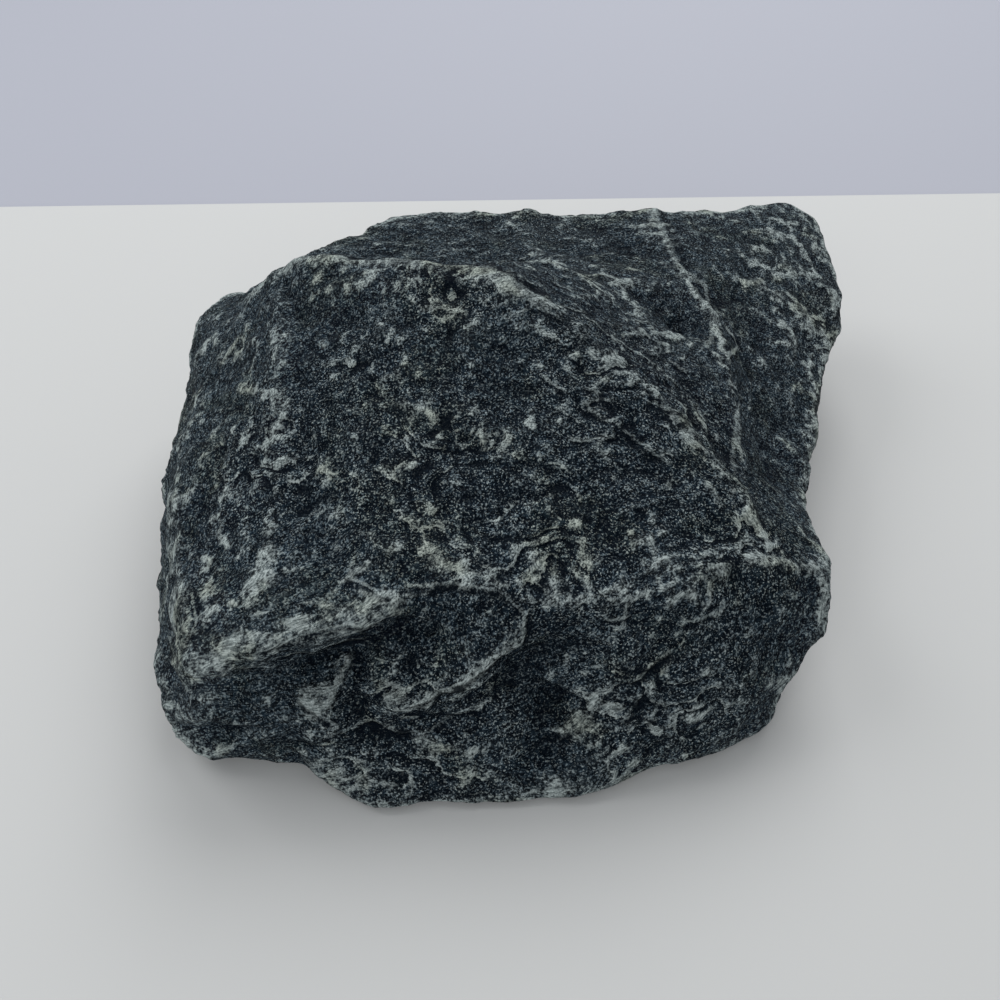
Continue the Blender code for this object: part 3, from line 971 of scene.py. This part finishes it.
@dataclass(frozen=True)
class DrawnGrain:
    """Noise drawn out along the lie of the grain, as a node group: the mean of noise taken at steps along it.

    Attributes:
        taps: steps to each side of the point.
    """

    taps: int = 4

    def group(self) -> bpy.types.NodeTree:
        """Build the group, or find it where it was built before.

        Returns:
            A group with Position, Lie, Size and Draw in millimetres, which puts out Value.
        """
        found = bpy.data.node_groups.get("drawn grain")
        if found:
            return found
        tree = bpy.data.node_groups.new("drawn grain", "ShaderNodeTree")
        for name in ("Position", "Lie"):
            tree.interface.new_socket(name, in_out="INPUT", socket_type="NodeSocketVector")
        for name in ("Size", "Draw"):
            tree.interface.new_socket(name, in_out="INPUT", socket_type="NodeSocketFloat")
        tree.interface.new_socket("Value", in_out="OUTPUT", socket_type="NodeSocketFloat")
        graph = Graph(tree)
        given = graph.add("NodeGroupInput").outputs
        scale = graph.math("DIVIDE", 1.0, given["Size"])
        total: Any = 0.0
        for tap in range(-self.taps, self.taps + 1):
            shift = graph.math("MULTIPLY", given["Draw"], tap / (2 * self.taps))
            ride = graph.add("ShaderNodeVectorMath", {0: given["Lie"], "Scale": shift}, operation="SCALE")
            ends = {0: given["Position"], 1: ride.outputs[0]}
            place = graph.add("ShaderNodeVectorMath", ends, operation="ADD").outputs[0]
            noise = graph.add("ShaderNodeTexNoise", {"Vector": place, "Scale": scale, "Detail": 0.0})
            total = graph.math("ADD", total, noise.outputs[0])
        mean = graph.math("DIVIDE", total, 2.0 * self.taps + 1)
        graph.add("NodeGroupOutput", {"Value": mean})
        return tree

    def add(self, graph: Graph, position: Any, lie: Any, size: float, draw: float) -> bpy.types.NodeSocket:
        """Place the group in a graph.

        Args:
            graph: where it goes.
            position: place in millimetres.
            lie: direction of the grain, from 0 to 1 long.
            size: width of a grain, in millimetres.
            draw: length over which it is drawn out, in millimetres.

        Returns:
            The drawn noise, about 0.5.
        """
        node = graph.add("ShaderNodeGroup", node_tree=self.group())
        for name, value in {"Position": position, "Lie": lie}.items():
            graph.tree.links.new(value, node.inputs[name])
        node.inputs["Size"].default_value = size
        node.inputs["Draw"].default_value = draw
        return node.outputs["Value"]


@dataclass(frozen=True)
class DuniteFinish:
    """Dark granular rock, paler and duller where it is worn, with painted shade, painted glints and some
    painted sheen.

    Sizes are in millimetres. A span is what a smooth step rises between, or a size and a length, or a share
    and what it starts from, as said below. Weights say what each named mask or noise adds.

    Attributes:
        deep: the darkest grains.
        body: the common grains.
        speck: the small pale grains in fresh rock.
        dust: the duller of the crushed grains where it is worn.
        scuff: the paler of them.
        olive: what is left of each colour where the rock is weathered to olive.
        fine: width of the fine grains, and how far they are drawn out.
        strand: the same of the strands in layered rock.
        clump: the same of the clumps.
        spot: size, finer layers and bend of the noise of the single grains.
        crumb: the same of the crumbs.
        patch: the same of the patches.
        glint: the same of the painted glints and of the painted shade in pores.
        stain: the same of the olive stains.
        layered: how far drawn out the grain is where the rock is layered.
        wander: how far the edges of a small ledge wander from its count.
        brink_ahead: part of a step over which the pale brink sets in.
        brink_behind: part of the next step over which it ends.
        brink_patches: patches that have brinks.
        brink_rugged: how strong a brink is in rugged rock, and in the rest.
        riser_shade: part of a step whose rising face gets painted shade.
        worn_by: what makes rock worn, or paler with painted sheen.
        covered: how worn the rock is where crushed grains cover it.
        waves: how far a rim wanders, in its widths.
        rim_edge: distance from a rim over which it ends, in its widths.
        drop_near: distance to the right of a rim over which its painted shadow sets in.
        drop_far: distance over which the painted shadow ends.
        brow: distance over which the ledge behind a rim ends.
        rough_by: what makes the surface rough.
        pit_shade: how rough the surface is between pits, which get painted shade, and the rest.
        grit_by: what the grit is made of.
        pale_from: grit from which a grain is pale.
        paler_by: what lowers that.
        pale_edge: how far above that a grain is fully pale.
        mottled: crumbs between the darkest and the common rock.
        streaked: strands that show as pale streaks, and how strongly.
        bright: spots between common and pale grains.
        crushing: power of the cover in how crushed the grains are.
        powder: fine grains between dust and scuff.
        hazed_by: what lays a pale haze over the dark grains, as worn rock and as painted sheen.
        crisp_zones: ruggedness over which the painted glints and the painted shade in pores grow stronger.
        crisp: how much stronger they are there, and how strong elsewhere.
        glinting: glints that are painted as lone bright specks.
        porous: glint noise that shows as painted shade in pores.
        pore_depth: how much less painted shade the pores get under cover, and how much elsewhere.
        stained: stains that are olive, and how strongly.
        shaded_by: what paints shade over the rock: hollows, pits, the rising faces of ledges, the falls
            beside rims, and pores.
        darkest: the most that the painted shade darkens it.
        dull: how much rougher cover is, and the roughness elsewhere.
        sheen: specular level.
        raised_by: what raises the surface, in millimetres.
    """

    deep: Colour = (0.0010, 0.0024, 0.0048, 1.0)
    body: Colour = (0.008, 0.0155, 0.0235, 1.0)
    speck: Colour = (0.110, 0.145, 0.166, 1.0)
    dust: Colour = (0.132, 0.157, 0.158, 1.0)
    scuff: Colour = (0.300, 0.342, 0.338, 1.0)
    olive: Colour = (1.0, 0.93, 0.68, 1.0)

    fine: Span = (0.33, 1.8)
    strand: Span = (0.50, 5.0)
    clump: Span = (2.2, 12.0)
    spot: Noise = (0.6, 1.0, 0.0)
    crumb: Noise = (1.5, 2.0, 0.3)
    patch: Noise = (10.0, 3.0, 0.5)
    glint: Noise = (0.42, 1.0, 0.0)
    stain: Noise = (16.0, 2.0, 0.5)
    layered: Span = (0.35, 0.85)

    wander: float = 0.5
    brink_ahead: Span = (0.93, 0.98)
    brink_behind: Span = (0.03, 0.18)
    brink_patches: Span = (0.43, 0.55)
    brink_rugged: Span = (0.65, 0.12)
    riser_shade: Span = (0.62, 0.82)

    worn_by: Weights = (
        ("wear_and_sheen", 0.62), ("clump", 1.1), ("crumb", 0.95), ("patch", 0.7), ("spot", 0.5), ("brink", 1.0),
    )
    covered: Span = (1.82, 2.30)
    waves: float = 4.0
    rim_edge: Span = (0.6, 1.6)
    drop_near: Span = (1.0, 2.0)
    drop_far: Span = (3.5, 7.0)
    brow: Span = (0.5, 2.5)

    rough_by: Weights = (("crumb", 1.0), ("clump", 1.4))
    pit_shade: Span = (1.02, 1.34)
    grit_by: Weights = (("fine", 0.65), ("spot", 0.35))
    pale_from: float = 0.58
    paler_by: Weights = (("cover", -0.14), ("patch", -0.12))
    pale_edge: float = 0.05

    mottled: Span = (0.38, 0.62)
    streaked: tuple[Span, float] = ((0.51, 0.60), 0.6)
    bright: Span = (0.35, 0.70)
    crushing: float = 1.4
    powder: Span = (0.43, 0.57)
    hazed_by: Weights = (("wear_and_sheen", 0.05), ("cover", 0.12))
    crisp_zones: Span = (0.0, 0.35)
    crisp: Span = (0.32, 0.43)
    glinting: Span = (0.60, 0.68)
    porous: Span = (0.40, 0.51)
    pore_depth: Span = (-0.5, 0.9)
    stained: tuple[Span, float] = ((0.50, 0.66), 0.35)
    # Painted shade: darkening in hollows, pits and pores, on the rising faces of small ledges and beside the
    # rims.
    shaded_by: Weights = (("hollow", 0.4), ("pit_shade", 0.45), ("riser_shade", 0.65), ("drop_shadow", 0.7), ("pore_shade", 1.0))
    darkest: float = 0.95

    dull: Span = (0.25, 0.60)
    sheen: float = 0.02
    raised_by: Weights = (("rough", 1.2), ("brow", 0.6), ("cover", 0.24), ("strands", 1.2), ("grit", 0.21))

    def noises(self, graph: Graph) -> Sockets:
        """Add the noises that the finish is made of.

        Args:
            graph: the material's graph.

        Returns:
            The noises, and how layered the rock is.
        """
        here = graph.add("ShaderNodeTexCoord").outputs["Object"]
        place = graph.add("ShaderNodeVectorMath", {0: here, "Scale": 1 / MM}, operation="SCALE").outputs[0]
        lie = graph.add("ShaderNodeAttribute", attribute_name="lie").outputs["Vector"]
        drawn = graph.add("ShaderNodeVectorMath", {0: lie}, operation="LENGTH").outputs["Value"]
        grain = DrawnGrain()
        return {
            "fine": grain.add(graph, place, lie, *self.fine),
            "strand": grain.add(graph, place, lie, *self.strand),
            "clump": grain.add(graph, place, lie, *self.clump),
            "spot": graph.noise(place, *self.spot),
            "crumb": graph.noise(place, *self.crumb),
            "patch": graph.noise(place, *self.patch),
            "glint": graph.noise(place, *self.glint),
            "stain": graph.noise(place, *self.stain),
            "layered": graph.between(drawn, *self.layered),
        }

    def steps(self, graph: Graph, at: Sockets) -> Sockets:
        """Mark the pale brinks of the small ledges, and the painted shade on their rising faces.

        A step runs from 0 at one brink to 1 at the next: it is the fraction of the ledge's count, which
        wanders by the crumbs.

        Args:
            graph: the material's graph.
            at: the noises and the stone's attributes.

        Returns:
            The brinks, and the painted shade on the rising faces.
        """
        step = graph.math("FRACT", graph.math("MULTIPLY_ADD", at["crumb"], self.wander, at["ledge"]))
        ahead = graph.between(step, *self.brink_ahead)
        brink = graph.math("MAXIMUM", graph.rest(graph.between(step, *self.brink_behind)), ahead)
        brink = graph.math("MULTIPLY", brink, graph.between(at["patch"], *self.brink_patches))
        brink = graph.math("MULTIPLY", brink, graph.math("MULTIPLY_ADD", at["rugged"], *self.brink_rugged))
        # Painted shade on the rising face of each small ledge, in rugged rock.
        riser_shade = graph.math("MULTIPLY", graph.between(step, *self.riser_shade), graph.rest(ahead))
        return {"brink": brink, "riser_shade": graph.math("MULTIPLY", riser_shade, at["rugged"])}

    def cover(self, graph: Graph, at: Sockets) -> Sockets:
        """Mark where crushed grains cover the rock: where it is worn, and along the crisp rims.

        The distance across a rim is waved by the crumbs, about their middle of one half.

        Args:
            graph: the material's graph.
            at: the noises, the attributes and the brinks.

        Returns:
            The cover, the painted shadows to the right of the rims and the brows behind them.
        """
        middled = graph.math("SUBTRACT", at["seam"], self.waves / 2)
        across = graph.math("MULTIPLY_ADD", at["crumb"], self.waves, middled)
        line = graph.rest(graph.between(graph.math("ABSOLUTE", across), *self.rim_edge))
        worn = graph.between(graph.total(at, self.worn_by), *self.covered)
        # Painted shadow to the right of each rim, where the surface falls away.
        ended = graph.between(across, *self.drop_far)
        drop_shadow = graph.math("SUBTRACT", graph.between(across, *self.drop_near), ended)
        brow = graph.rest(graph.between(across, *self.brow))
        return {
            "cover": graph.math("MAXIMUM", worn, graph.math("MULTIPLY", line, at["rim"])),
            "drop_shadow": graph.math("MULTIPLY", drop_shadow, at["rim"]),
            "brow": graph.math("MULTIPLY", brow, at["rim"]),
        }

    def texture(self, graph: Graph, at: Sockets) -> Sockets:
        """Mark the rough surface, the painted shade in its pits and pores, its grit, and the strands of
        layered rock.

        Args:
            graph: the material's graph.
            at: the noises, the attributes and the cover.

        Returns:
            These marks, and how strong the painted glints and the painted shade in pores are.
        """
        rough = graph.total(at, self.rough_by)
        crisp = graph.math("MULTIPLY_ADD", graph.between(at["rugged"], *self.crisp_zones), *self.crisp)
        # Painted shade in pores, where the glint noise is low.
        pore_shade = graph.math("MULTIPLY", graph.rest(graph.between(at["glint"], *self.porous)), crisp)
        depth = graph.math("MULTIPLY_ADD", at["cover"], *self.pore_depth)
        return {
            "rough": rough,
            # Painted shade in pits, where the rough surface lies low.
            "pit_shade": graph.rest(graph.between(rough, *self.pit_shade)),
            "grit": graph.total(at, self.grit_by),
            "crisp": crisp,
            "pore_shade": graph.math("MULTIPLY", pore_shade, depth),
            "strands": graph.math("MULTIPLY", at["strand"], at["layered"]),
        }

    def colour(self, graph: Graph, at: Sockets) -> bpy.types.NodeSocket:
        """Lay pale grains over dark rock, thicker and crushed where it is covered, paint in glints, and paint
        shade over what lies deep.

        Args:
            graph: the material's graph.
            at: all noises, attributes and masks.

        Returns:
            The colour.
        """
        span, strength = self.streaked
        streak = graph.math("MULTIPLY", graph.between(at["strand"], *span), at["layered"])
        rock = graph.mix(graph.between(at["crumb"], *self.mottled), self.deep, self.body)
        rock = graph.mix(graph.math("MULTIPLY", streak, strength), rock, self.speck)
        rock = graph.mix(graph.total(at, self.hazed_by), rock, self.scuff)

        fresh = graph.mix(graph.between(at["spot"], *self.bright), self.body, self.speck)
        powder = graph.mix(graph.between(at["fine"], *self.powder), self.dust, self.scuff)
        grains = graph.mix(graph.math("POWER", at["cover"], self.crushing), fresh, powder)
        pale = graph.total(at, self.paler_by, self.pale_from)
        pale = graph.between(at["grit"], pale, graph.math("ADD", pale, self.pale_edge))
        colour = graph.mix(pale, rock, grains)

        # Painted highlight: glints of crystal faces, laid in as lone bright specks.
        glint = graph.math("MULTIPLY", graph.between(at["glint"], *self.glinting), at["crisp"])
        colour = graph.mix(glint, colour, self.scuff)
        span, strength = self.stained
        stain = graph.math("MULTIPLY", graph.between(at["stain"], *span), strength)
        colour = graph.mix(stain, colour, self.olive, "MULTIPLY")
        # Painted shade: hollows, pits, ledge faces, the falls beside rims and pores are darkened towards the
        # darkest grains.
        shade = graph.math("MINIMUM", graph.total(at, self.shaded_by), self.darkest)
        return graph.mix(shade, colour, self.deep)

    def material(self) -> bpy.types.Material:
        """Build the finish.

        Returns:
            The material.
        """
        material = bpy.data.materials.new("dunite")
        material.use_nodes = True
        graph = Graph(material.node_tree)
        at = {name: graph.attribute(name) for name in ("wear_and_sheen", "hollow", "ledge", "rugged", "seam", "rim")}
        at |= self.noises(graph)
        at |= self.steps(graph, at)
        at |= self.cover(graph, at)
        at |= self.texture(graph, at)
        bump = {"Height": graph.total(at, self.raised_by), "Strength": 1.0, "Distance": MM}
        surface = material.node_tree.nodes["Principled BSDF"]
        surface.inputs["Specular IOR Level"].default_value = self.sheen
        joined = {
            "Base Color": self.colour(graph, at),
            "Roughness": graph.math("MULTIPLY_ADD", at["cover"], *self.dull),
            "Normal": graph.add("ShaderNodeBump", bump).outputs[0],
        }
        for name, socket in joined.items():
            graph.tree.links.new(socket, surface.inputs[name])
        return material


@dataclass(frozen=True)
class Studio:
    """A pale table before a bluish floor, and soft light from the left and from behind.

    Attributes:
        table: colour of the table.
        beyond: colour of the floor behind it.
        table_end: how far back the table runs on its left and right, in metres.
        reach: how far the table and the floor run to the other sides, in metres.
        table_drop: how far the table lies below the stone's underside, in metres.
        floor_drop: how far the floor lies below it, in metres.
        dull: roughness of both.
        sky: strength of the light from all round.
        sky_tint: its colour.
        softboxes: each light's name, place and size in metres, and power in watts.
    """

    table: Colour = (0.42, 0.423, 0.421, 1.0)
    beyond: Colour = (0.285, 0.293, 0.338, 1.0)
    table_end: tuple[float, float] = (0.145, 0.200)
    reach: float = 1.0
    table_drop: float = 0.0002
    floor_drop: float = 0.001
    dull: float = 0.7
    sky: float = 0.53
    sky_tint: Colour = (0.93, 0.97, 1.0, 1.0)
    softboxes: tuple[tuple[str, Point, float, float], ...] = (
        ("key", (-0.70, 0.30, 0.75), 0.6, 4.2),
        ("back", (0.26, 0.82, 1.00), 0.9, 13.5),
        ("front", (-0.30, -1.05, 0.50), 1.1, 7.0),
    )

    def sheet(self, name: str, corners: Line, colour: Colour) -> None:
        """Lay a plain sheet that isn't part of the object.

        Args:
            name: its name.
            corners: its four corners.
            colour: its colour.
        """
        mesh = bpy.data.meshes.new(name)
        mesh.from_pydata(corners, [], [(0, 1, 2, 3)])
        material = bpy.data.materials.new(name)
        material.use_nodes = True
        surface = material.node_tree.nodes["Principled BSDF"]
        surface.inputs["Base Color"].default_value = colour
        surface.inputs["Roughness"].default_value = self.dull
        mesh.materials.append(material)
        sheet = bpy.data.objects.new(name, mesh)
        bpy.context.scene.collection.objects.link(sheet)

    def softbox(self, name: str, place: Point, size: float, power: float) -> None:
        """Hang a square soft light that faces the stone.

        Args:
            name: its name.
            place: where it hangs, in metres.
            size: length of its side, in metres.
            power: its power, in watts.
        """
        light = bpy.data.lights.new(name, "AREA")
        light.size = size
        light.energy = power
        box = bpy.data.objects.new(name, light)
        box.location = place
        box.rotation_euler = (-box.location).to_track_quat("-Z", "Y").to_euler()
        bpy.context.scene.collection.objects.link(box)

    def build(self) -> None:
        """Lay the table and the floor, hang the lights and set the sky."""
        far, (left, right) = self.reach, self.table_end
        table = ((-far, -far), (far, -far), (far, right), (-far, left))
        self.sheet("table", tuple((x, y, -self.table_drop) for x, y in table), self.table)
        floor = ((-far, -far), (far, -far), (far, 2 * far), (-far, 2 * far))
        self.sheet("floor", tuple((x, y, -self.floor_drop) for x, y in floor), self.beyond)
        for name, place, size, power in self.softboxes:
            self.softbox(name, place, size, power)
        scene = bpy.context.scene
        scene.world = bpy.data.worlds.new("sky")
        scene.world.use_nodes = True
        sky = scene.world.node_tree.nodes["Background"]
        sky.inputs["Color"].default_value = self.sky_tint
        sky.inputs["Strength"].default_value = self.sky
        scene.view_settings.view_transform = "Standard"


@dataclass(frozen=True)
class Viewpoint:
    """The camera, held in front of the stone and looking down at it.

    Attributes:
        place: where it is, in metres.
        pitch: how far it looks down, in degrees.
        lens: its focal length, in millimetres, before a sensor of the same width as a full frame.
        sensor: width of the sensor, in millimetres.
        near: nothing nearer than this is drawn, in metres.
    """

    place: Point = (-0.0078, -0.1924, 0.1962)
    pitch: float = 45.0
    lens: float = 36.0
    sensor: float = 36.0
    near: float = 0.005

    def build(self) -> None:
        """Set up the camera."""
        data = bpy.data.cameras.new("camera")
        data.lens = self.lens
        data.sensor_width = self.sensor
        data.clip_start = self.near
        camera = bpy.data.objects.new("camera", data)
        camera.location = self.place
        camera.rotation_euler = (math.radians(90 - self.pitch), 0, 0)
        bpy.context.scene.collection.objects.link(camera)
        bpy.context.scene.camera = camera


def main() -> None:
    """Build the camera, the studio and the stone."""
    logging.basicConfig(level=logging.INFO, format="%(name)s: %(message)s")
    Viewpoint().build()
    Studio().build()
    maker = Stone()
    stone = maker.build()
    maker.dress(stone)
    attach(stone, "root")
    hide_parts(STONE_NODE)
    log.info("%s: %d squares", stone.name, len(stone.data.polygons))


if __name__ == "__main__":
    main()
